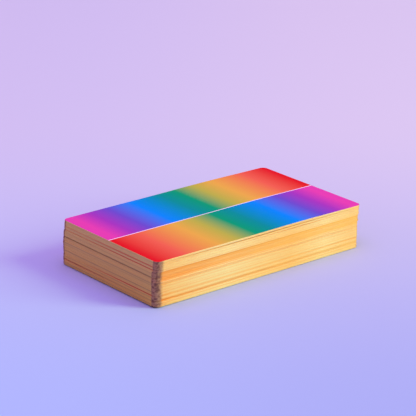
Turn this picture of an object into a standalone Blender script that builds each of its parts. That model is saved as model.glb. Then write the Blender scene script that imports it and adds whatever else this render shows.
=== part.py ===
"""A deck of gilt-edged oracle cards, squared by hand and lying on its faces with the printed backs up.

Units are metres, +Z is up, the cards' length runs along X and their width along Y.
The origin is the middle of the bottom card's underside.
"""

import math
import random
from collections import namedtuple

import bmesh
import bpy

# Card stock
CARD_LENGTH = 0.120
CARD_WIDTH = 0.070
CARD_THICKNESS = 0.00045
CORNER_RADIUS = 0.0025
CORNER_SEGMENTS = 6
AIR_GAP = 0.000022

# The lean of the upper cards, which grows card by card to the top one
LEANING_CARDS = 21
LEAN_LENGTHWISE = 0.0016
LEAN_ACROSS = 0.0005

# The packets that squaring the deck left a little out of line, from the table up: how many cards each
# holds, how far it lies off along the length and across the width, and its turn in degrees
Packet = namedtuple("Packet", "cards lengthwise across turn")
PACKETS = (
    Packet(6, 0.0, 0.0, 0.0),
    Packet(1, 0.00015, 0.00025, -0.10),
    Packet(4, 0.00002, -0.00002, 0.03),
    Packet(1, 0.00022, 0.00010, 0.15),
    Packet(10, 0.00005, -0.00004, 0.0),
    Packet(1, 0.00008, 0.00020, -0.05),
    Packet(2, 0.0, -0.00010, 0.02),
    Packet(3, 0.00010, 0.00020, -0.10),
    Packet(1, 0.00045, 0.00022, -0.25),
    Packet(5, 0.00005, 0.00018, -0.12),
    Packet(1, 0.00002, -0.00004, 0.04),
    Packet(1, 0.00022, 0.00004, 0.05),
    Packet(4, 0.00003, -0.00006, 0.05),
    Packet(4, 0.0, 0.0, 0.02),
)

# The last small scatter of each card within its packet
SCATTER_LENGTHWISE = 0.00006
SCATTER_ACROSS = 0.00005
SCATTER_TURN = 0.03
SCATTER_SEED = 11

# Finishes: name, colour, roughness and metallic value
BACK_FINISH = ("printed_back", (0.36, 0.13, 0.62, 1.0), 0.45, 0.0)
FACE_FINISH = ("printed_face", (0.86, 0.82, 0.78, 1.0), 0.45, 0.0)
EDGE_FINISH = ("gilt_edge", (0.91, 0.60, 0.22, 1.0), 0.35, 1.0)
SMOOTH_BELOW = 40.0

CARD_COUNT = sum(packet.cards for packet in PACKETS)
PITCH = CARD_THICKNESS + AIR_GAP
BACK_SLOT, FACE_SLOT, EDGE_SLOT = range(3)


def clear_scene():
    """Remove every object that the file opened with."""
    for obj in list(bpy.data.objects):
        bpy.data.objects.remove(obj)


def make_material(finish):
    """Return a Principled material for one finish."""
    name, colour, roughness, metallic = finish
    material = bpy.data.materials.new(name)
    material.use_nodes = True
    material.diffuse_color = colour
    shader = material.node_tree.nodes["Principled BSDF"]
    shader.inputs["Base Color"].default_value = colour
    shader.inputs["Roughness"].default_value = roughness
    shader.inputs["Metallic"].default_value = metallic
    return material


def finish_slot(face):
    """Return the material slot of a card's face: back on top, picture face below, gilding around."""
    if face.normal.z > 0.5:
        return BACK_SLOT
    if face.normal.z < -0.5:
        return FACE_SLOT
    return EDGE_SLOT


def card_mesh():
    """Return the mesh of one card, a plate with rounded corners, centred on its underside."""
    shape = bmesh.new()
    bmesh.ops.create_cube(shape, size=1.0)
    bmesh.ops.translate(shape, verts=shape.verts, vec=(0.0, 0.0, 0.5))
    bmesh.ops.scale(shape, verts=shape.verts, vec=(CARD_LENGTH, CARD_WIDTH, CARD_THICKNESS))
    upright = [edge for edge in shape.edges if edge.verts[0].co.xy == edge.verts[1].co.xy]
    bmesh.ops.bevel(
        shape,
        geom=upright,
        offset=CORNER_RADIUS,
        segments=CORNER_SEGMENTS,
        profile=0.5,
        affect="EDGES",
    )
    shape.normal_update()
    for face in shape.faces:
        face.material_index = finish_slot(face)
        face.smooth = face.material_index == EDGE_SLOT
    mesh = bpy.data.meshes.new("card")
    shape.to_mesh(mesh)
    shape.free()
    mesh.set_sharp_from_angle(angle=math.radians(SMOOTH_BELOW))
    for finish in (BACK_FINISH, FACE_FINISH, EDGE_FINISH):
        mesh.materials.append(make_material(finish))
    return mesh


def card_name(number):
    """Return a card's name by its place in the deck, counted from the top."""
    place = {1: "_top", CARD_COUNT: "_bottom"}
    return f"card_{number:02d}{place.get(number, '')}"


def lean_share(level):
    """Return how much of the lean a card has, from 0 below the leaning cards to 1 at the top card."""
    first_leaning = CARD_COUNT - LEANING_CARDS
    return max(0.0, (level + 1 - first_leaning) / LEANING_CARDS)


def card_places():
    """Yield each card's lengthwise place, place across, height and turn, from the table up."""
    scatter = random.Random(SCATTER_SEED)
    packet_of_level = [packet for packet in PACKETS for _ in range(packet.cards)]
    for level, packet in enumerate(packet_of_level):
        lean = lean_share(level)
        loose = 1.0 if level else 0.0
        yield (
            lean * LEAN_LENGTHWISE + packet.lengthwise
            + loose * scatter.uniform(-SCATTER_LENGTHWISE, SCATTER_LENGTHWISE),
            lean * LEAN_ACROSS + packet.across
            + loose * scatter.uniform(-SCATTER_ACROSS, SCATTER_ACROSS),
            level * PITCH,
            packet.turn + loose * scatter.uniform(-SCATTER_TURN, SCATTER_TURN),
        )


def add_cards(collection, deck):
    """Stack the cards from the table up, each in its own place."""
    mesh = card_mesh()
    for level, (x, y, z, turn) in enumerate(card_places()):
        card = bpy.data.objects.new(card_name(CARD_COUNT - level), mesh)
        card.location = (x, y, z)
        card.rotation_euler.z = math.radians(turn)
        card.parent = deck
        collection.objects.link(card)


def main():
    clear_scene()
    collection = bpy.data.collections.new("oracle_card_deck")
    bpy.context.scene.collection.children.link(collection)
    deck = bpy.data.objects.new("deck", None)
    collection.objects.link(deck)
    add_cards(collection, deck)


main()
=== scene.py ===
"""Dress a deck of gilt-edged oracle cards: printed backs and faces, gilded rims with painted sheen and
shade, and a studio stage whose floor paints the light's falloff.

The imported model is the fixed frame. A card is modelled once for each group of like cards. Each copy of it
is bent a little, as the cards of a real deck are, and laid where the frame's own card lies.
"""

import math
import random

import bmesh
import bpy
import numpy as np
from bpy.props import FloatProperty, FloatVectorProperty, IntProperty, PointerProperty
from mathutils import Matrix, Vector


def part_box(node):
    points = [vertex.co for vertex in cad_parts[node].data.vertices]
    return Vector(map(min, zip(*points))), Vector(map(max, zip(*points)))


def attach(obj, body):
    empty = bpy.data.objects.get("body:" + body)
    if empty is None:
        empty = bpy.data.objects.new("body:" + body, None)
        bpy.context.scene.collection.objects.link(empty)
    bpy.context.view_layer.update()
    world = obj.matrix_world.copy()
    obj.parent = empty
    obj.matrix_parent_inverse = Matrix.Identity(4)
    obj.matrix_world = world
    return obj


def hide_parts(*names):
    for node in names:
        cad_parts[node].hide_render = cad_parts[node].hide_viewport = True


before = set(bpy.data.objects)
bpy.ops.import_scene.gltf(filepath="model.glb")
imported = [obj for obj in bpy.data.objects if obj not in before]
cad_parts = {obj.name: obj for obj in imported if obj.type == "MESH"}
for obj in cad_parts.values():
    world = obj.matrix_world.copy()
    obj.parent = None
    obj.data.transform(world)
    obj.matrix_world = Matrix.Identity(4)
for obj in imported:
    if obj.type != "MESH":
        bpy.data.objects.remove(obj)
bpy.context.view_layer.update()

bl_info = {
    "name": "Oracle Card Deck",
    "version": (1, 0, 0),
    "blender": (4, 5, 0),
    "location": "View3D > Sidebar > Card Deck",
    "description": "Models and finishes a deck of gilt-edged oracle cards around its packed frame",
    "category": "Add Mesh",
}

# The deck as the frame holds it, its cards numbered from the top
CARD_NAMES = sorted(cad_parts)
TOP_CARD = CARD_NAMES[0]
BOTTOM_CARD = CARD_NAMES[-1]
BOTTOM_LOW, BOTTOM_HIGH = (Vector(corner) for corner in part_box(BOTTOM_CARD))
CARD_SIZE = BOTTOM_HIGH - BOTTOM_LOW
DECK_HEIGHT = Vector(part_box(TOP_CARD)[1]).z

# Slots and names that a card's mesh carries for its materials
BACK_SLOT, FACE_SLOT, GILT_SLOT = range(3)
PRINT_MAP = "print"
SIDE_TONE = "side_tone"
END_TONE = "end_tone"
HUE = "hue"

# Sockets of the Mix node when it mixes colours
MIX_SHARE, MIX_FIRST, MIX_SECOND = 0, 6, 7
MIX_RESULT = 2

# How finely a card is modelled
CORNER_SEGMENTS = 8
RIM_SEGMENTS = 2
BEND_STATIONS = 15
SMOOTH_BELOW = math.radians(20.0)

# Least rise of an edge that stands up, and the level under which a point lies on the table
UPRIGHT_RISE = 1e-5
TABLE_LEVEL = 1e-6

# How far a face looks up or down when it lies flat, when it is printed, and when it is cut edge
FLAT_TILT = 0.9
PRINTED_TILT = 0.99
CUT_TILT = 0.1

# Where the sprung cards rise and come down, from the left end (-1) to the right end (1)
SPRING_START, SPRING_END = -0.2, 0.95

# Where the lifted end starts, from the middle (0) to the left end (1), and the share of air it takes up
LIFT_START = 0.5
SLACK_USED = 0.7

# The laminate's tooth, a fine grain, in cells to the metre
TOOTH_CELLS = (2600.0, 2600.0, 2600.0)
TOOTH_DETAIL = 3.0
TOOTH_STRENGTH = 0.05
TOOTH_DEPTH = 0.00005
TOOTH_ROUGHNESS = 0.06

# The laminate's haze, broad and soft
HAZE_CELLS = (45.0, 45.0, 45.0)
HAZE_DETAIL = 4.0
HAZE_ROUGHNESS = 0.10

# The field of a face: spectrum to the metre, its start on the top card, and its spread over the deck
FIELD_RUN = 2.0
FIELD_START = 0.12
FIELD_SPREAD = 0.76

# Radius and half the width of each ring on a face
RINGS = ((0.0200, 0.0006), (0.0236, 0.0003))

# Where the wear sets in round a corner, in metres past its start along the length and across the width
WEAR_ALONG = (-0.0020, 0.0002)
WEAR_ACROSS = (-0.0006, 0.0003)

# Where a long side's foil turns into a short end's darker foil of painted shade, in corner radii past the
# start of the corner
FOIL_TURN = (0.2, 0.9)
BLEED_TURN = 0.5

# Noise in the foil, in cells to the metre
STREAK_CELLS = (40.0, 40.0, 5200.0)
PATCH_CELLS = (18.0, 18.0, 260.0)
STAIN_CELLS = (800.0, 800.0, 900.0)
STAIN_RANGE = (0.40, 0.64)
FOIL_DETAIL = 3.0

# How much that noise and a card's own tone change the depth of the foil
STREAK_DEPTH = 0.4
PATCH_DEPTH = 0.4
SIDE_DRIFT = 0.7
SIDE_TONE_DEPTH = 0.36
END_TONE_DEPTH = 0.50
SIDE_SEED = 329293
END_SEED = 233483

# How much the streaks and the wear change the roughness of the foil
STREAK_ROUGHNESS = 0.16
WEAR_ROUGHNESS = 0.25

# Strength of the strata, their painted recess shade too, at the left of the long sides, and what it loses
# by their right
BAND_STRENGTH = 1.03
BAND_LOSS = 0.25

# Deeper foil, low at the left of the long sides: its reach and its top, as shares, and its depth
LEFT_REACH = (0.02, 0.10)
LEFT_TOP = (0.45, 0.56)
LEFT_DEPTH = 0.35

# Where across a short end the painted red bounce changes from the front's heights to the back's, as shares
# of the width
TO_BACK = (0.25, 0.85)

# How far up the strata below are moved, as a share of the deck's height
STRATA_SHIFT = 0.018

# How deep the foil's tone is at each height on the long sides, from the table (0) to the top card (1): the
# broad bands are the foil's own tone, the narrow dark lines painted shade in the recesses between packets
SIDE_STRATA = (
    (0.000, 0.00),
    (0.050, 0.14),
    (0.090, 0.00),
    (0.115, 0.10),
    (0.135, 0.72),
    (0.156, 1.00),
    (0.176, 0.40),
    (0.196, 0.06),
    (0.220, 0.22),
    (0.240, 0.50),
    (0.260, 0.42),
    (0.285, 0.08),
    (0.466, 0.00),
    (0.498, 0.02),
    (0.508, 0.55),
    (0.524, 0.55),
    (0.536, 0.02),
    (0.566, 0.00),
    (0.577, 0.50),
    (0.588, 0.72),
    (0.680, 0.72),
    (0.714, 0.56),
    (0.736, 1.00),
    (0.760, 0.36),
    (0.776, 0.02),
    (0.885, 0.04),
    (0.912, 0.32),
    (0.942, 0.38),
    (0.966, 0.06),
    (1.000, 0.00),
)

# Painted sheen on the thick foil along the long sides, from the left end (0) to the right (1): 0 paints it
# pale, 1 at its brightest
PAINTED_SHEEN = (
    (0.00, 0.10),
    (0.06, 0.08),
    (0.12, 0.24),
    (0.21, 0.70),
    (0.34, 1.00),
    (0.49, 0.40),
    (0.65, 0.00),
    (0.82, 0.90),
    (0.94, 0.28),
    (1.00, 0.10),
)

# How dark the foil is at each height on the short ends: painted shade in the gaps between packets, and
# painted contact shade at the foot
END_STRATA = (
    (0.000, 0.55),
    (0.040, 0.15),
    (0.115, 0.15),
    (0.135, 0.40),
    (0.155, 0.05),
    (0.220, 0.00),
    (0.235, 0.15),
    (0.255, 0.30),
    (0.275, 0.05),
    (0.320, 0.10),
    (0.344, 0.36),
    (0.365, 0.10),
    (0.400, 0.08),
    (0.430, 0.00),
    (0.590, 0.00),
    (0.610, 0.45),
    (0.635, 1.00),
    (0.655, 0.75),
    (0.675, 0.22),
    (0.700, 0.06),
    (0.760, 0.00),
    (0.780, 0.10),
    (0.800, 0.40),
    (0.820, 0.10),
    (0.845, 0.10),
    (0.865, 0.35),
    (0.885, 0.08),
    (1.000, 0.00),
)

# Where a red bounce between the gold edges is painted on the short ends, towards the front
PAINTED_BOUNCE_FRONT = (
    (0.235, 0.00),
    (0.244, 1.00),
    (0.261, 1.00),
    (0.269, 0.00),
    (0.782, 0.00),
    (0.792, 0.85),
    (0.808, 0.85),
    (0.818, 0.00),
    (0.851, 0.00),
    (0.861, 0.80),
    (0.875, 0.80),
    (0.885, 0.00),
)

# Where a red bounce between the gold edges is painted on the short ends, towards the back
PAINTED_BOUNCE_BACK = (
    (0.115, 0.00),
    (0.127, 0.90),
    (0.143, 0.90),
    (0.155, 0.00),
    (0.782, 0.00),
    (0.800, 0.55),
    (0.818, 0.00),
    (0.851, 0.00),
    (0.868, 0.50),
    (0.885, 0.00),
)

# The floor, the air under the bottom card, and the places of its four colours from the middle, in metres;
# the four colours paint the light's falloff
FLOOR_SIZE = 12.0
FLOOR_GAP = 0.0001
FLOOR_NEAR, FLOOR_FAR = -0.20, 0.21
FLOOR_LEFT, FLOOR_RIGHT = -0.10, 0.10
FLOOR_ROUGHNESS = 0.9
FLOOR_SPECULAR = 0.1

# Where the floor starts to fade into the backdrop, and where it is gone
FADE_START, FADE_END = 0.7, 3.0

# The soft boxes, in metres and degrees
LAMP_DISTANCE = 3.0
KEY_BOX = {"azimuth": 40.0, "elevation": 27.0, "width": 0.9, "height": 2.0}
TOP_BOX = {"azimuth": 0.0, "elevation": 90.0, "width": 3.0, "height": 3.0}


def colour(name, description, default):
    """Return a colour property, in linear light."""
    return FloatVectorProperty(
        name=name, description=description, default=default, size=3, min=0.0, max=1.0, subtype="COLOR"
    )


def metres(name, description, default):
    """Return a length property."""
    return FloatProperty(
        name=name, description=description, default=default, min=0.0, precision=5, subtype="DISTANCE",
        unit="LENGTH"
    )


def share(name, description, default):
    """Return a property that runs from 0 to 1."""
    return FloatProperty(
        name=name, description=description, default=default, min=0.0, max=1.0, subtype="FACTOR"
    )


def angle(name, description, degrees):
    """Return an angle property."""
    return FloatProperty(
        name=name, description=description, default=math.radians(degrees), subtype="ANGLE", unit="ROTATION"
    )


def count(name, description, default):
    """Return a property that counts cards."""
    return IntProperty(name=name, description=description, default=default, min=0)


def watts(name, description, default):
    """Return a lamp's power property."""
    return FloatProperty(name=name, description=description, default=default, min=0.0, unit="POWER")


class CardSettings(bpy.types.PropertyGroup):
    """The shape of a card and the way the deck lies."""

    length: metres("Length", "Length of a card", CARD_SIZE.x)
    width: metres("Width", "Width of a card", CARD_SIZE.y)
    thickness: metres("Thickness", "Thickness of the laminated board", CARD_SIZE.z)
    corner_radius: metres("Corner radius", "Radius of the cut corners, seen from above", 0.0025)
    rim_radius: metres("Rim radius", "Rounding of the cut edge against the back and the face", 0.00006)
    curl: metres("Corner curl", "How far the bottom card's rim curls up at the front left corner", 0.00036)
    side_curl: metres("Side curl", "How far the rest of the bottom card's rim curls up", 0.0001)
    curl_width: metres("Curl width", "Width of the bottom card's curled rim", 0.002)
    lifted_cards: count("Lifted cards", "Cards on top that bow up together", 2)
    arch: metres("Arch", "Height of the bow in the middle of the lifted cards", 0.00012)
    press: metres("Press", "How far the cards under the lifted ones are pressed down in the middle", 0.0002)
    sprung_cards: count("Sprung cards", "Cards on top that spring up towards their right end", 4)
    spring: metres("Spring", "Height of the sprung cards' bow", 0.0002)
    lift: metres("Lift", "How far the deck's left end is off the table", 0.00022)
    swell: metres("Swell", "How much higher the top card's left end lies than its middle", 0.00026)


class PrintSettings(bpy.types.PropertyGroup):
    """Inks and laminate of the backs and the faces."""

    magenta: colour("Magenta", "Ink at the start of the spectrum", (0.6806, 0.053, 0.3451))
    purple: colour("Purple", "Second ink of the spectrum", (0.33, 0.04, 0.4019))
    violet: colour("Violet", "Third ink of the spectrum", (0.1349, 0.076, 0.474))
    azure: colour("Azure", "Fourth ink of the spectrum", (0.0, 0.258, 0.7562))
    teal: colour("Teal", "Fifth ink of the spectrum", (0.0, 0.3, 0.2537))
    green: colour("Green", "Sixth ink of the spectrum", (0.0, 0.363, 0.1319))
    ochre: colour("Ochre", "Seventh ink of the spectrum", (0.4334, 0.475, 0.0548))
    orange: colour("Orange", "Eighth ink of the spectrum", (0.719, 0.443, 0.0558))
    coral: colour("Coral", "Ninth ink of the spectrum", (0.7545, 0.132, 0.0639))
    red: colour("Red", "Ink at the end of the spectrum", (0.6649, 0.009, 0.0137))
    white: colour("White", "Bare stock of the hairline, the borders and the rings", (0.8471, 0.84, 0.8526))
    hairline: metres("Hairline", "Width of the white line between the two bars", 0.0005)
    border: metres("Border", "Width of the white border round a card's face", 0.004)
    bleed: metres("Gilt bleed", "How far the gilding creeps in between the cards", 0.0006)
    roughness: share("Roughness", "Roughness of the matt laminate", 0.55)
    specular: share("Specular level", "Strength of the laminate's reflections", 0.012)


class GiltSettings(bpy.types.PropertyGroup):
    """Foil on the cut edges."""

    # Painted sheen: the thick side foil runs from pale gold to its brightest along the length
    bright: colour("Bright gold", "Thick side foil where it shines most", (0.915, 0.743, 0.304))
    pale: colour("Pale gold", "Thick side foil where it shines least", (0.915, 0.612, 0.19))
    deep: colour("Deep gold", "Thin, warm foil at the left of the long sides", (0.905, 0.355, 0.05))
    honey: colour("Honey gold", "Thin, warm foil at the right of the long sides", (0.92, 0.51, 0.062))
    # Painted shade: the short ends' foil is darker and duller than the long sides', greyer at the top and
    # warmer at the foot
    shaded_end_high: colour("Upper end foil", "Duller foil at the top of the short ends", (0.69, 0.5, 0.167))
    shaded_end_low: colour("Lower end foil", "Duller foil at the foot of the short ends", (0.693, 0.415, 0.078))
    # Painted shade in the gaps between packets, also the deepest of the cards' own tones
    seam: colour("Seams", "Foil where it broke between cards on the short ends", (0.33, 0.215, 0.0888))
    # Painted reflection: the red of light bounced between the gold edges in the grooves
    rubbed: colour("Rubbed seams", "End foil rubbed down to its red ground", (0.6, 0.05, 0.0313))
    dull: colour("Worn foil", "Foil rubbed off round the corners", (0.449, 0.257, 0.141))
    stained: colour("Stained foil", "Spots in the worn foil", (0.215, 0.095, 0.067))
    metal: share("Metallic", "How much of the edge shines as metal", 0.45)
    roughness: share("Roughness", "Roughness of the foil", 0.5)


class StageSettings(bpy.types.PropertyGroup):
    """Floor, light and camera."""

    # Painted light falloff: the floor is darker and bluer before the deck, and darkest at the front right
    far_left: colour("Far left floor", "Floor behind the deck, at the left", (0.556, 0.621, 0.678))
    far_right: colour("Far right floor", "Floor behind the deck, at the right", (0.593, 0.646, 0.664))
    near_left: colour("Near left floor", "Floor before the deck, at the left", (0.367, 0.546, 0.757))
    near_right: colour("Near right floor", "Floor before the deck, at the right", (0.341, 0.463, 0.687))
    ambient: colour("Ambient", "Light from all round", (0.674, 0.371, 0.637))
    backdrop: colour("Backdrop", "Plain surroundings beyond the floor", (0.64, 0.54, 0.86))
    key_tint: colour("Key tint", "Colour of the soft key light", (0.826, 1.0, 0.546))
    key_power: watts("Key power", "Power of the soft key light", 80.0)
    top_tint: colour("Top tint", "Colour of the wide light overhead", (0.429, 0.246, 1.0))
    top_power: watts("Top power", "Power of the wide light overhead", 59.5)
    azimuth: angle("Camera azimuth", "Way to the camera, from the front to the right", -39.03)
    elevation: angle("Camera elevation", "Height of the camera over the floor", 19.85)
    distance: metres("Camera distance", "Distance from the camera to the point it looks at", 0.9415)
    lens: FloatProperty(
        name="Lens", description="Focal length in millimetres", default=177.06, min=1.0, unit="CAMERA"
    )
    aim: FloatVectorProperty(
        name="Aim", description="Point that the camera looks at", default=(0.00125, 0.0042, 0.02163),
        size=3, precision=5, subtype="TRANSLATION", unit="LENGTH"
    )


class DeckSettings(bpy.types.PropertyGroup):
    """All the settings of the deck."""

    card: PointerProperty(type=CardSettings)
    print: PointerProperty(type=PrintSettings)
    gilt: PointerProperty(type=GiltSettings)
    stage: PointerProperty(type=StageSettings)


class Signal:
    """A shader socket that takes part in Python expressions, each of which adds its own Math node."""

    def __init__(self, tree, socket=None):
        self.tree = tree
        self.socket = socket

    def node(self, kind, settings=None, inputs=None, output=0):
        """Add a node, set it up, feed its sockets with values or signals, and return one of its outputs."""
        new = self.tree.nodes.new(kind)
        for name, value in (settings or {}).items():
            if name == "stops":
                set_stops(new.color_ramp, value)
            else:
                setattr(new, name, value)
        for name, value in (inputs or {}).items():
            feed(new.inputs[name], value)
        return Signal(self.tree, new.outputs[output])

    def math(self, operation, *values):
        """Return what a Math node makes of these numbers and signals."""
        return self.node("ShaderNodeMath", {"operation": operation}, dict(enumerate(values)))

    def __add__(self, other):
        return self.math("ADD", self, other)

    __radd__ = __add__

    def __sub__(self, other):
        return self.math("SUBTRACT", self, other)

    def __rsub__(self, other):
        return self.math("SUBTRACT", other, self)

    def __mul__(self, other):
        return self.math("MULTIPLY", self, other)

    __rmul__ = __mul__

    def __truediv__(self, other):
        return self.math("DIVIDE", self, other)

    def __abs__(self):
        return self.math("ABSOLUTE", self)

    def __gt__(self, other):
        return self.math("GREATER_THAN", self, other)

    def __lt__(self, other):
        return self.math("LESS_THAN", self, other)

    def at_least(self, other):
        """Return the larger of this number and another."""
        return self.math("MAXIMUM", self, other)

    def at_most(self, other):
        """Return the smaller of this number and another."""
        return self.math("MINIMUM", self, other)

    def root(self):
        """Return the square root of this number."""
        return self.math("SQRT", self)

    def rise(self, start, end):
        """Return 0 below start and 1 above end, with a smooth rise between them."""
        inputs = {"Value": self, "From Min": start, "From Max": end}
        return self.node("ShaderNodeMapRange", {"interpolation_type": "SMOOTHSTEP"}, inputs)

    def parts(self):
        """Return the three numbers of a vector."""
        split = self.node("ShaderNodeSeparateXYZ", inputs={"Vector": self})
        return [Signal(self.tree, socket) for socket in split.socket.node.outputs]

    def ramp(self, stops):
        """Return the colour that a ramp with these stops gives for this number."""
        return self.node("ShaderNodeValToRGB", {"stops": stops}, {"Fac": self})

    def blend(self, first, second):
        """Return the first colour where this number is 0 and the second where it is 1."""
        inputs = {MIX_SHARE: self, MIX_FIRST: rgba(first), MIX_SECOND: rgba(second)}
        return self.node("ShaderNodeMix", {"data_type": "RGBA"}, inputs, output=MIX_RESULT)

    def noise(self, cells, detail=2.0):
        """Return noise from 0 to 1 on this vector, with so many cells to the metre along each axis."""
        scaled = self.node("ShaderNodeVectorMath", {"operation": "MULTIPLY"}, {0: self, 1: cells})
        return self.node("ShaderNodeTexNoise", inputs={"Vector": scaled, "Scale": 1.0, "Detail": detail})

    def attribute(self, name):
        """Return a number that the mesh holds under this name."""
        return self.node("ShaderNodeAttribute", {"attribute_name": name}, output="Fac")

    def place(self):
        """Return the place of a point of the surface, in metres."""
        return self.node("ShaderNodeTexCoord", output="Object")

    def print_place(self, card):
        """Return a point's place on its own card, from the middle along the length and the width."""
        along, across, _ = self.node("ShaderNodeUVMap", {"uv_map": PRINT_MAP}).parts()
        return (along - 0.5) * card.length, (across - 0.5) * card.width


def rgba(value):
    """Return a colour with full alpha, or a signal as it is."""
    return value if isinstance(value, Signal) else (*value, 1.0)


def set_stops(ramp, stops):
    """Give a colour ramp its stops, each a position and a colour or a grey."""
    while len(ramp.elements) < len(stops):
        ramp.elements.new(1.0)
    for element, (position, value) in zip(ramp.elements, stops):
        element.position = position
        element.color = (value, value, value, 1.0) if isinstance(value, float) else (*value, 1.0)


def feed(socket, value):
    """Link a signal to a socket, or set a plain value on it."""
    if isinstance(value, Signal):
        value.tree.links.new(value.socket, socket)
    else:
        socket.default_value = value


def connect(node, **inputs):
    """Feed a node's sockets by name; an underscore stands for a space."""
    for name, value in inputs.items():
        feed(node.inputs[name.replace("_", " ")], value)


def start_material(name):
    """Return a new material, a signal that adds nodes to it, and its Principled shader."""
    material = bpy.data.materials.new(name)
    material.use_nodes = True
    tree = material.node_tree
    return material, Signal(tree), tree.nodes["Principled BSDF"]


def spectrum_stops(inks):
    """Return the stops of the printed spectrum."""
    return (
        (0.04, inks.magenta),
        (0.12, inks.purple),
        (0.20, inks.violet),
        (0.315, inks.azure),
        (0.45, inks.teal),
        (0.53, inks.green),
        (0.62, inks.ochre),
        (0.71, inks.orange),
        (0.87, inks.coral),
        (0.985, inks.red),
    )


def reach_of(x, y):
    """Return how far a point lies from the middle."""
    return (x * x + y * y).root()


def past_corner(card, x, y):
    """Return how far a point lies past the start of the rounded corners, along the length and the width."""
    past_end = abs(x) - (card.length / 2.0 - card.corner_radius)
    past_side = abs(y) - (card.width / 2.0 - card.corner_radius)
    return past_end, past_side


def from_cut(card, x, y):
    """Return how far inside the card's cut edge a point lies."""
    past_end, past_side = past_corner(card, x, y)
    in_corner = reach_of(past_end.at_least(0.0), past_side.at_least(0.0))
    return card.corner_radius - in_corner - past_end.at_least(past_side).at_most(0.0)


def worn_share(card, x, y):
    """Return how worn the gilding is at a point, from 0 to 1 round the corners of the left end."""
    past_end, past_side = past_corner(card, x, y)
    return past_end.rise(*WEAR_ALONG) * past_side.rise(*WEAR_ACROSS) * (x < 0.0)


def finish_print(signal, shader, deck, x, y, ink):
    """Finish a printed side: gilding creeping in from the cut, under a matt laminate with a fine tooth."""
    card, inks, gilt = deck.card, deck.print, deck.gilt
    spot = signal.place()
    tooth = spot.noise(TOOTH_CELLS, detail=TOOTH_DETAIL)
    haze = spot.noise(HAZE_CELLS, detail=HAZE_DETAIL)
    below_top = signal.attribute(HUE) > 0.0
    crept = from_cut(card, x, y) < below_top * inks.bleed
    # At the short ends the crept gilding takes the end foil's painted shade
    past_end, _ = past_corner(card, x, y)
    gilding = (past_end > BLEED_TURN * card.corner_radius).blend(gilt.deep, gilt.shaded_end_high)
    relief = {"Strength": TOOTH_STRENGTH, "Distance": TOOTH_DEPTH, "Height": tooth}
    connect(
        shader,
        Base_Color=crept.blend(ink, worn_share(card, x, y).blend(gilding, gilt.dull)),
        Roughness=inks.roughness + (haze - 0.5) * HAZE_ROUGHNESS + (tooth - 0.5) * TOOTH_ROUGHNESS,
        Specular_IOR_Level=inks.specular,
        Normal=signal.node("ShaderNodeBump", inputs=relief),
    )


def back_material(deck):
    """Return the printed back: two bars of the spectrum, running opposite ways, with a hairline between."""
    inks = deck.print
    material, signal, shader = start_material("printed_back")
    x, y = signal.print_place(deck.card)
    far_bar = y > 0.0
    run = x * (far_bar * 2.0 - 1.0) / deck.card.length + 0.5
    on_line = abs(y) < inks.hairline / 2.0
    ink = on_line.blend(run.ramp(spectrum_stops(inks)), inks.white)
    finish_print(signal, shader, deck, x, y, ink)
    return material


def face_material(deck):
    """Return the printed face: a white border round a field in the card's own hue, with two plain rings."""
    card, inks = deck.card, deck.print
    material, signal, shader = start_material("printed_face")
    x, y = signal.print_place(card)
    inside = (abs(x) < card.length / 2.0 - inks.border) * (abs(y) < card.width / 2.0 - inks.border)
    run = x * FIELD_RUN + signal.attribute(HUE) * FIELD_SPREAD + FIELD_START
    reach = reach_of(x, y)
    ring = sum(abs(reach - radius) < half_width for radius, half_width in RINGS)
    ink = inside.blend(inks.white, ring.blend(run.ramp(spectrum_stops(inks)), inks.white))
    finish_print(signal, shader, deck, x, y, ink)
    return material


def side_foil(signal, gilt, height, along, drift):
    """Return the foil of the long sides: strata of thick and thin foil with painted shade in the recesses
    between packets, and a painted sheen along them.
    """
    # The strata hold the foil's own tone bands and painted shade lines in the recesses between packets
    bands = height.ramp(SIDE_STRATA) * (BAND_STRENGTH - BAND_LOSS * along)
    at_left = (1.0 - along.rise(*LEFT_REACH)) * (1.0 - height.rise(*LEFT_TOP))
    tone = signal.attribute(SIDE_TONE) * SIDE_TONE_DEPTH
    depth = bands + at_left * LEFT_DEPTH + drift * SIDE_DRIFT + tone
    # Painted sheen: the thick foil is painted from pale to its brightest along the length
    thick = along.ramp(PAINTED_SHEEN).blend(gilt.pale, gilt.bright)
    thin = along.blend(gilt.deep, gilt.honey)
    return depth.blend(thick, thin)


def shaded_end_foil(signal, gilt, height, across, drift):
    """Return the foil of the short ends: darker as painted shade, with a painted red bounce at some heights
    and painted shade in the gaps between packets.
    """
    to_back = across.rise(*TO_BACK)
    # Painted reflection: a red bounce between the gold edges at some heights
    rubbed = height.ramp(PAINTED_BOUNCE_FRONT) * (1.0 - to_back) + height.ramp(PAINTED_BOUNCE_BACK) * to_back
    foil = rubbed.blend(height.blend(gilt.shaded_end_low, gilt.shaded_end_high), gilt.rubbed)
    # Painted shade in the gaps between packets and at the foot, with each card's own tone and the foil's
    # noise
    tone_and_gap_shade = height.ramp(END_STRATA) + drift + signal.attribute(END_TONE) * END_TONE_DEPTH
    return tone_and_gap_shade.blend(foil, gilt.seam)


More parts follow.
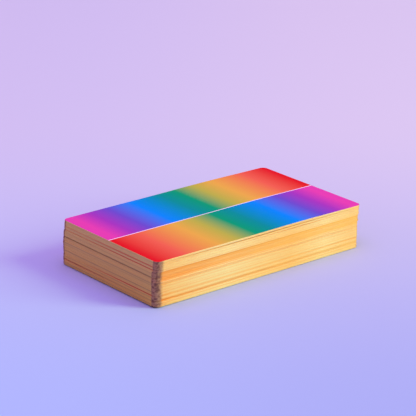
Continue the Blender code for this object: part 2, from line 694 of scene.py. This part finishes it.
def gilt_material(deck):
    """Return the gilded edge: one foil with a painted sheen on the long sides, a darker one of painted
    shade on the short ends, and worn corners.
    """
    card, gilt = deck.card, deck.gilt
    material, signal, shader = start_material("gilt_edge")
    spot = signal.place()
    x, y = signal.print_place(card)
    height = spot.parts()[2] / DECK_HEIGHT - STRATA_SHIFT
    streak = spot.noise(STREAK_CELLS, detail=FOIL_DETAIL) - 0.5
    patch = spot.noise(PATCH_CELLS) - 0.5
    drift = streak * STREAK_DEPTH + patch * PATCH_DEPTH
    side = side_foil(signal, gilt, height, x / card.length + 0.5, drift)
    # Painted shade: the short ends get their own darker foil
    end = shaded_end_foil(signal, gilt, height, y / card.width + 0.5, drift)
    past_end, _ = past_corner(card, x, y)
    turn_start, turn_end = (radii * card.corner_radius for radii in FOIL_TURN)
    gold = past_end.rise(turn_start, turn_end).blend(side, end)
    worn = worn_share(card, x, y)
    stains = spot.noise(STAIN_CELLS, detail=FOIL_DETAIL).rise(*STAIN_RANGE)
    connect(
        shader,
        Base_Color=worn.blend(gold, stains.blend(gilt.dull, gilt.stained)),
        Metallic=gilt.metal,
        Roughness=gilt.roughness + streak * STREAK_ROUGHNESS + worn * WEAR_ROUGHNESS,
    )
    return material


def deck_materials(deck):
    """Return the materials of a card's back, face and edge, made once."""
    made = {"printed_back": back_material, "printed_face": face_material, "gilt_edge": gilt_material}
    return [bpy.data.materials.get(name) or make(deck) for name, make in made.items()]


def deselect_everything():
    """Leave nothing selected, because an operator acts on all that is."""
    bpy.ops.object.select_all(action="DESELECT")


def select_where(piece, kind, wanted):
    """Select the vertices, edges or faces that the test wants of the mesh in edit mode, and no others."""
    bpy.ops.mesh.select_mode(type=kind)
    bpy.ops.mesh.select_all(action="DESELECT")
    shape = bmesh.from_edit_mesh(piece.data)
    parts = {"VERT": shape.verts, "EDGE": shape.edges, "FACE": shape.faces}
    for part in parts[kind]:
        if wanted(part):
            part.select = True
    bmesh.update_edit_mesh(piece.data)


def is_upright(edge):
    """Tell whether an edge stands straight up."""
    lower, upper = (vertex.co for vertex in edge.verts)
    return abs(lower.z - upper.z) > UPRIGHT_RISE


def is_rim(edge, side):
    """Tell whether an edge lies between the cut edge and the back (side 1) or the face (side -1)."""
    tilts = sorted(face.normal.z * side for face in edge.link_faces)
    return len(tilts) == 2 and abs(tilts[0]) < CUT_TILT and tilts[1] > FLAT_TILT


def curl_rim(piece, card):
    """Curl the rim of the card in edit mode up off the table, most at the front left corner."""
    select_where(piece, "FACE", lambda face: face.normal.z < -FLAT_TILT)
    bpy.ops.mesh.inset(thickness=card.curl_width, depth=0.0)
    shape = bmesh.from_edit_mesh(piece.data)
    flat = {vertex for face in shape.faces if face.select for vertex in face.verts}
    select_where(piece, "VERT", lambda vertex: vertex.co.z < TABLE_LEVEL and vertex not in flat)
    bpy.ops.transform.translate(value=(0.0, 0.0, card.side_curl))
    shape = bmesh.from_edit_mesh(piece.data)
    rim = {vertex for vertex in shape.verts if vertex.select}
    end = card.corner_radius / 2.0 - card.length / 2.0
    select_where(piece, "VERT", lambda vertex: vertex in rim and vertex.co.x < end and vertex.co.y < 0.0)
    bpy.ops.transform.translate(value=(0.0, 0.0, card.curl - card.side_curl))


def model_card(card, curled):
    """Model one flat card in edit mode, its underside centred on the origin, and return it."""
    deselect_everything()
    bpy.ops.mesh.primitive_cube_add(size=1.0, location=(0.0, 0.0, card.thickness / 2.0))
    piece = bpy.context.object
    piece.scale = (card.length, card.width, card.thickness)
    bpy.ops.object.transform_apply(location=True, rotation=True, scale=True)
    bpy.ops.object.mode_set(mode="EDIT")
    select_where(piece, "EDGE", is_upright)
    bpy.ops.mesh.bevel(offset=card.corner_radius, segments=CORNER_SEGMENTS, affect="EDGES")
    straight = card.length - 2.0 * card.corner_radius
    for station in range(1, BEND_STATIONS + 1):
        x = straight * (station / (BEND_STATIONS + 1) - 0.5)
        bpy.ops.mesh.select_all(action="SELECT")
        bpy.ops.mesh.bisect(plane_co=(x, 0.0, 0.0), plane_no=(1.0, 0.0, 0.0))
    if curled:
        curl_rim(piece, card)
    for side in (1, -1):
        select_where(piece, "EDGE", lambda edge: is_rim(edge, side))
        bpy.ops.mesh.bevel(offset=card.rim_radius, segments=RIM_SEGMENTS, affect="EDGES")
    bpy.ops.object.mode_set(mode="OBJECT")
    bpy.ops.object.shade_smooth_by_angle(angle=SMOOTH_BELOW)
    return piece


def side_of(face):
    """Return the material slot of a card's face by the way it looks."""
    if face.normal.z > PRINTED_TILT:
        return BACK_SLOT
    if face.normal.z < -PRINTED_TILT:
        return FACE_SLOT
    return GILT_SLOT


def print_card(piece, card, materials):
    """Give a flat card its materials and the map that its prints lie on."""
    mesh = piece.data
    for material in materials:
        mesh.materials.append(material)
    for face in mesh.polygons:
        face.material_index = side_of(face)
    for name in [layer.name for layer in mesh.uv_layers]:
        mesh.uv_layers.remove(mesh.uv_layers[name])
    places = mesh.uv_layers.new(name=PRINT_MAP)
    for loop in mesh.loops:
        corner = mesh.vertices[loop.vertex_index].co
        places.data[loop.index].uv = (corner.x / card.length + 0.5, corner.y / card.width + 0.5)


def place_of(name):
    """Return the matrix that carries a flat card onto the frame's card of this name."""
    corners = [vertex.co.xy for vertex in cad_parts[name].data.vertices]
    outline = np.unique(np.round(corners, 6), axis=0)
    spread = np.cov(outline.T)
    turn = 0.5 * math.atan2(2.0 * spread[0][1], spread[0][0] - spread[1][1])
    low, high = (Vector(corner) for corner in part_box(name))
    middle = (low + high) / 2.0
    return Matrix.Translation((middle.x, middle.y, low.z)) @ Matrix.Rotation(turn, 4, "Z")


def tone_of(seed, number):
    """Return how much deeper or paler than the rest a card's foil is, from 1 to -1."""
    return random.Random(seed + number).uniform(-1.0, 1.0)


def bend_of(card, number, height, x):
    """Return how far a card is bent up at x, by its number from the top and its height."""
    along = 2.0 * x / card.length
    level = height / DECK_HEIGHT
    bow = 1.0 - along ** 2
    rise = -card.swell * level * along
    rise += card.arch * bow if number < card.lifted_cards else -card.press * level * bow
    if number < card.sprung_cards and SPRING_START < along < SPRING_END:
        turn = (along - SPRING_START) / (SPRING_END - SPRING_START)
        rise += card.spring * (1.0 - math.cos(2.0 * math.pi * turn)) / 2.0
    slack = height - (len(CARD_NAMES) - 1 - number) * card.thickness
    to_end = max(0.0, -along - LIFT_START) / (1.0 - LIFT_START)
    return rise + max(0.0, card.lift - SLACK_USED * slack) * to_end ** 2


def lay_card(pattern, name, card):
    """Copy the flat card, bend it, give it its own tones and hue, and lay it in its place in the deck."""
    number = CARD_NAMES.index(name)
    place = place_of(name)
    mesh = pattern.data.copy()
    mesh.name = f"gilt_{name}"
    for vertex in mesh.vertices:
        vertex.co.z += bend_of(card, number, place.translation.z, vertex.co.x)
    values = {
        SIDE_TONE: tone_of(SIDE_SEED, number),
        END_TONE: tone_of(END_SEED, number),
        HUE: number / (len(CARD_NAMES) - 1),
    }
    for label, value in values.items():
        held = mesh.attributes.new(label, "FLOAT", "POINT")
        held.data.foreach_set("value", [value] * len(mesh.vertices))
    mesh.transform(place)
    piece = bpy.data.objects.new(f"gilt_{name}", mesh)
    bpy.context.scene.collection.objects.link(piece)
    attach(piece, name)
    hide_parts(name)


def lay_cards(deck, names, curled=False):
    """Model a card of one kind and lay a copy of it in each of the named places."""
    pattern = model_card(deck.card, curled)
    print_card(pattern, deck.card, deck_materials(deck))
    for name in names:
        lay_card(pattern, name, deck.card)
    bpy.data.objects.remove(pattern)


class DECK_OT_bottom_card(bpy.types.Operator):
    """Lay the bottom card, whose rim curls up a little off the table"""

    bl_idname = "oracle_deck.bottom_card"
    bl_label = "Bottom card"

    def execute(self, context):
        deck = context.scene.oracle_deck
        lay_cards(deck, [BOTTOM_CARD], curled=True)
        return {"FINISHED"}


class DECK_OT_squared_cards(bpy.types.Operator):
    """Lay the cards between the bottom card and the lifted ones"""

    bl_idname = "oracle_deck.squared_cards"
    bl_label = "Squared cards"

    def execute(self, context):
        deck = context.scene.oracle_deck
        lay_cards(deck, CARD_NAMES[deck.card.lifted_cards:-1])
        return {"FINISHED"}


class DECK_OT_lifted_cards(bpy.types.Operator):
    """Lay the cards on top, which bow up a little in the middle"""

    bl_idname = "oracle_deck.lifted_cards"
    bl_label = "Lifted cards"

    def execute(self, context):
        deck = context.scene.oracle_deck
        lay_cards(deck, CARD_NAMES[:deck.card.lifted_cards])
        return {"FINISHED"}


def bearing(azimuth, elevation):
    """Return the way to a point at an azimuth, from the front to the right, and an elevation."""
    flat = math.cos(elevation)
    return Vector((math.sin(azimuth) * flat, -math.cos(azimuth) * flat, math.sin(elevation)))


def seen_rays(signal):
    """Return 1 for the rays that show what lies behind the deck, and 0 for those that light it."""
    rays = signal.node("ShaderNodeLightPath").socket.node
    kinds = ("Is Camera Ray", "Is Glossy Ray", "Is Transmission Ray")
    return sum(Signal(signal.tree, rays.outputs[kind]) for kind in kinds)


def floor_colour(stage, x, y):
    """Return the floor's colour, which drifts from near to far and from left to right as painted light
    falloff.
    """
    away = bearing(stage.azimuth + math.pi, 0.0)
    right = bearing(stage.azimuth + math.pi / 2.0, 0.0)
    depth = (x * away.x + y * away.y).rise(FLOOR_NEAR, FLOOR_FAR)
    aside = (x * right.x + y * right.y).rise(FLOOR_LEFT, FLOOR_RIGHT)
    near = aside.blend(stage.near_left, stage.near_right)
    far = aside.blend(stage.far_left, stage.far_right)
    return depth.blend(near, far)


def add_floor(stage):
    """Add the floor, which fades into the backdrop; its colour paints the light's falloff, bluer and darker
    before the deck than behind it and darkest at the front right.
    """
    deselect_everything()
    bpy.ops.mesh.primitive_plane_add(size=FLOOR_SIZE, location=(0.0, 0.0, -FLOOR_GAP))
    floor = bpy.context.object
    floor.name = "floor"
    material, signal, shader = start_material("floor_with_painted_falloff")
    x, y, _ = signal.place().parts()
    connect(
        shader,
        Base_Color=floor_colour(stage, x, y),
        Roughness=FLOOR_ROUGHNESS,
        Specular_IOR_Level=FLOOR_SPECULAR,
    )
    faded = reach_of(x, y).rise(FADE_START, FADE_END) * seen_rays(signal)
    surface = Signal(signal.tree, shader.outputs["BSDF"])
    backdrop = signal.node("ShaderNodeEmission", inputs={"Color": rgba(stage.backdrop)})
    mixed = signal.node("ShaderNodeMixShader", inputs={0: faded, 1: surface, 2: backdrop})
    connect(material.node_tree.nodes["Material Output"], Surface=mixed)
    floor.data.materials.append(material)


def add_world(stage):
    """Add soft light from all round, and pale surroundings for the camera and the foil to see."""
    world = bpy.data.worlds.new("studio")
    world.use_nodes = True
    tree = world.node_tree
    signal = Signal(tree)
    lit = signal.node("ShaderNodeBackground", inputs={"Color": rgba(stage.ambient)})
    backdrop = signal.node("ShaderNodeBackground", inputs={"Color": rgba(stage.backdrop)})
    mixed = signal.node("ShaderNodeMixShader", inputs={0: seen_rays(signal), 1: lit, 2: backdrop})
    connect(tree.nodes["World Output"], Surface=mixed)
    bpy.context.scene.world = world


def add_soft_box(name, power, tint, azimuth, elevation, width, height):
    """Add a soft box that looks at the deck, its azimuth and elevation given in degrees."""
    way = bearing(math.radians(azimuth), math.radians(elevation))
    lamp = bpy.data.lights.new(name, "AREA")
    lamp.energy = power
    lamp.color = tint
    lamp.shape = "RECTANGLE"
    lamp.size = width
    lamp.size_y = height
    box = bpy.data.objects.new(name, lamp)
    box.location = way * LAMP_DISTANCE
    box.rotation_euler = way.to_track_quat("Z", "Y").to_euler()
    bpy.context.scene.collection.objects.link(box)


def add_lamps(stage):
    """Add the key light, low on the right, and the wide top light, straight over the deck."""
    add_soft_box("key", stage.key_power, stage.key_tint, **KEY_BOX)
    add_soft_box("top", stage.top_power, stage.top_tint, **TOP_BOX)


def add_camera(stage):
    """Add the camera, which looks down on the deck's left end and front."""
    way = bearing(stage.azimuth, stage.elevation)
    data = bpy.data.cameras.new("camera")
    data.lens = stage.lens
    camera = bpy.data.objects.new("camera", data)
    camera.location = Vector(stage.aim) + way * stage.distance
    camera.rotation_euler = way.to_track_quat("Z", "Y").to_euler()
    bpy.context.scene.collection.objects.link(camera)
    bpy.context.scene.camera = camera


class DECK_OT_stage(bpy.types.Operator):
    """Add the floor, the light and the camera"""

    bl_idname = "oracle_deck.stage"
    bl_label = "Stage"

    def execute(self, context):
        stage = context.scene.oracle_deck.stage
        context.scene.view_settings.view_transform = "Standard"
        add_floor(stage)
        add_world(stage)
        add_lamps(stage)
        add_camera(stage)
        return {"FINISHED"}


class DECK_PT_sidebar(bpy.types.Panel):
    """The deck's settings and the steps that make it"""

    bl_idname = "DECK_PT_sidebar"
    bl_label = "Card Deck"
    bl_space_type = "VIEW_3D"
    bl_region_type = "UI"
    bl_category = "Card Deck"

    def draw(self, context):
        deck = context.scene.oracle_deck
        for group in (deck.card, deck.print, deck.gilt, deck.stage):
            box = self.layout.box()
            for name in group.__annotations__:
                box.prop(group, name)
        for step in STEPS:
            self.layout.operator(step.bl_idname)


SETTINGS = (CardSettings, PrintSettings, GiltSettings, StageSettings, DeckSettings)
STEPS = (DECK_OT_bottom_card, DECK_OT_squared_cards, DECK_OT_lifted_cards, DECK_OT_stage)
CLASSES = (*SETTINGS, *STEPS, DECK_PT_sidebar)


def register():
    """Make the settings, the steps and the panel known, and give the scene its deck."""
    for cls in CLASSES:
        bpy.utils.register_class(cls)
    bpy.types.Scene.oracle_deck = PointerProperty(type=DeckSettings)


def unregister():
    """Undo what register does."""
    del bpy.types.Scene.oracle_deck
    for cls in reversed(CLASSES):
        bpy.utils.unregister_class(cls)


def main():
    """Make the deck and its stage."""
    register()
    bpy.ops.oracle_deck.bottom_card()
    bpy.ops.oracle_deck.squared_cards()
    bpy.ops.oracle_deck.lifted_cards()
    bpy.ops.oracle_deck.stage()


if __name__ == "__main__":
    main()
